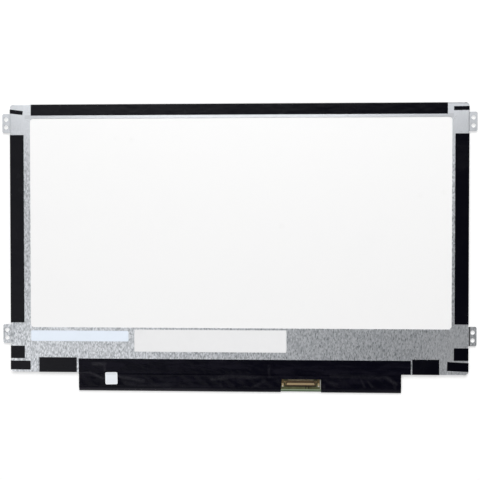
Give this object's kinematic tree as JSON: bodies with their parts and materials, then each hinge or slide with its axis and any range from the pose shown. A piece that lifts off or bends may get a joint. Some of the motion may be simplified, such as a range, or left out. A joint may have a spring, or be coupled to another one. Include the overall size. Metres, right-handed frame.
{
  "type": "laptop screen panel",
  "caption": "Slim laptop screen module seen from its back: metal frame with screw ears, light guide, liquid crystal cell, and a film-covered board with its connector.",
  "frame": {"origin": "centre of the active area on the display's front face", "axes": "+X to the right and +Y up as seen from behind, +Z out of the back; the panel lies on its display face"},
  "size_m": [0.2776, 0.1686, 0.003],
  "materials": {
    "frame_steel": "satin",
    "frame_resin": "satin",
    "polarizer_film": "satin",
    "dark_glass": "gloss",
    "chip_silicon": "gloss",
    "flex_film": "satin",
    "black_tape": "satin",
    "optical_sheet": "satin",
    "light_guide": "gloss",
    "white_reflector": "satin",
    "led_body": "satin",
    "board_laminate": "satin",
    "chip_resin": "matte",
    "ferrite": "matte",
    "part_ceramic": "satin",
    "connector_resin": "satin",
    "connector_shell": "satin",
    "gold_contact": "gloss",
    "pale_resin": "satin",
    "cover_film": "gloss",
    "pale_blue_label": "satin",
    "white_label": "satin"
  },
  "bodies": {
    "root": {"front_polarizer": "polarizer_film", "color_filter_glass": "dark_glass", "transistor_glass": "dark_glass", "rear_polarizer": "polarizer_film", "driver_chips": "chip_silicon", "panel_flex_cables": "flex_film", "rim_tape": "black_tape", "upper_prism_sheet": "optical_sheet", "lower_prism_sheet": "optical_sheet", "diffuser_sheet": "optical_sheet", "light_guide_plate": "light_guide", "reflector_sheet": "white_reflector", "backlight_leds": "led_body", "backlight_flex": "flex_film", "mould_frame": "frame_resin", "back_frame": "frame_steel", "control_board": "board_laminate", "timing_controller": "chip_resin", "power_chip": "chip_resin", "backlight_driver": "chip_resin", "memory_chip": "chip_resin", "power_inductors": "ferrite", "board_capacitors": "part_ceramic", "board_resistors": "chip_resin", "display_connector_housing": "connector_resin", "display_connector_shell": "connector_shell", "display_connector_contacts": "gold_contact", "backlight_connector_housing": "pale_resin", "backlight_connector_lever": "connector_resin", "board_cover_film": "cover_film", "top_edge_tape": "black_tape", "left_edge_tape": "black_tape", "right_edge_tape": "black_tape", "upper_left_tape": "black_tape", "upper_right_tape": "black_tape", "lower_left_tape": "black_tape", "lower_right_tape": "black_tape", "left_corner_tape": "black_tape", "right_corner_tape": "black_tape", "bottom_left_tape": "black_tape", "bottom_right_tape": "black_tape", "long_label": "pale_blue_label", "main_label": "white_label", "square_label": "white_label"}
  },
  "joints": []
}
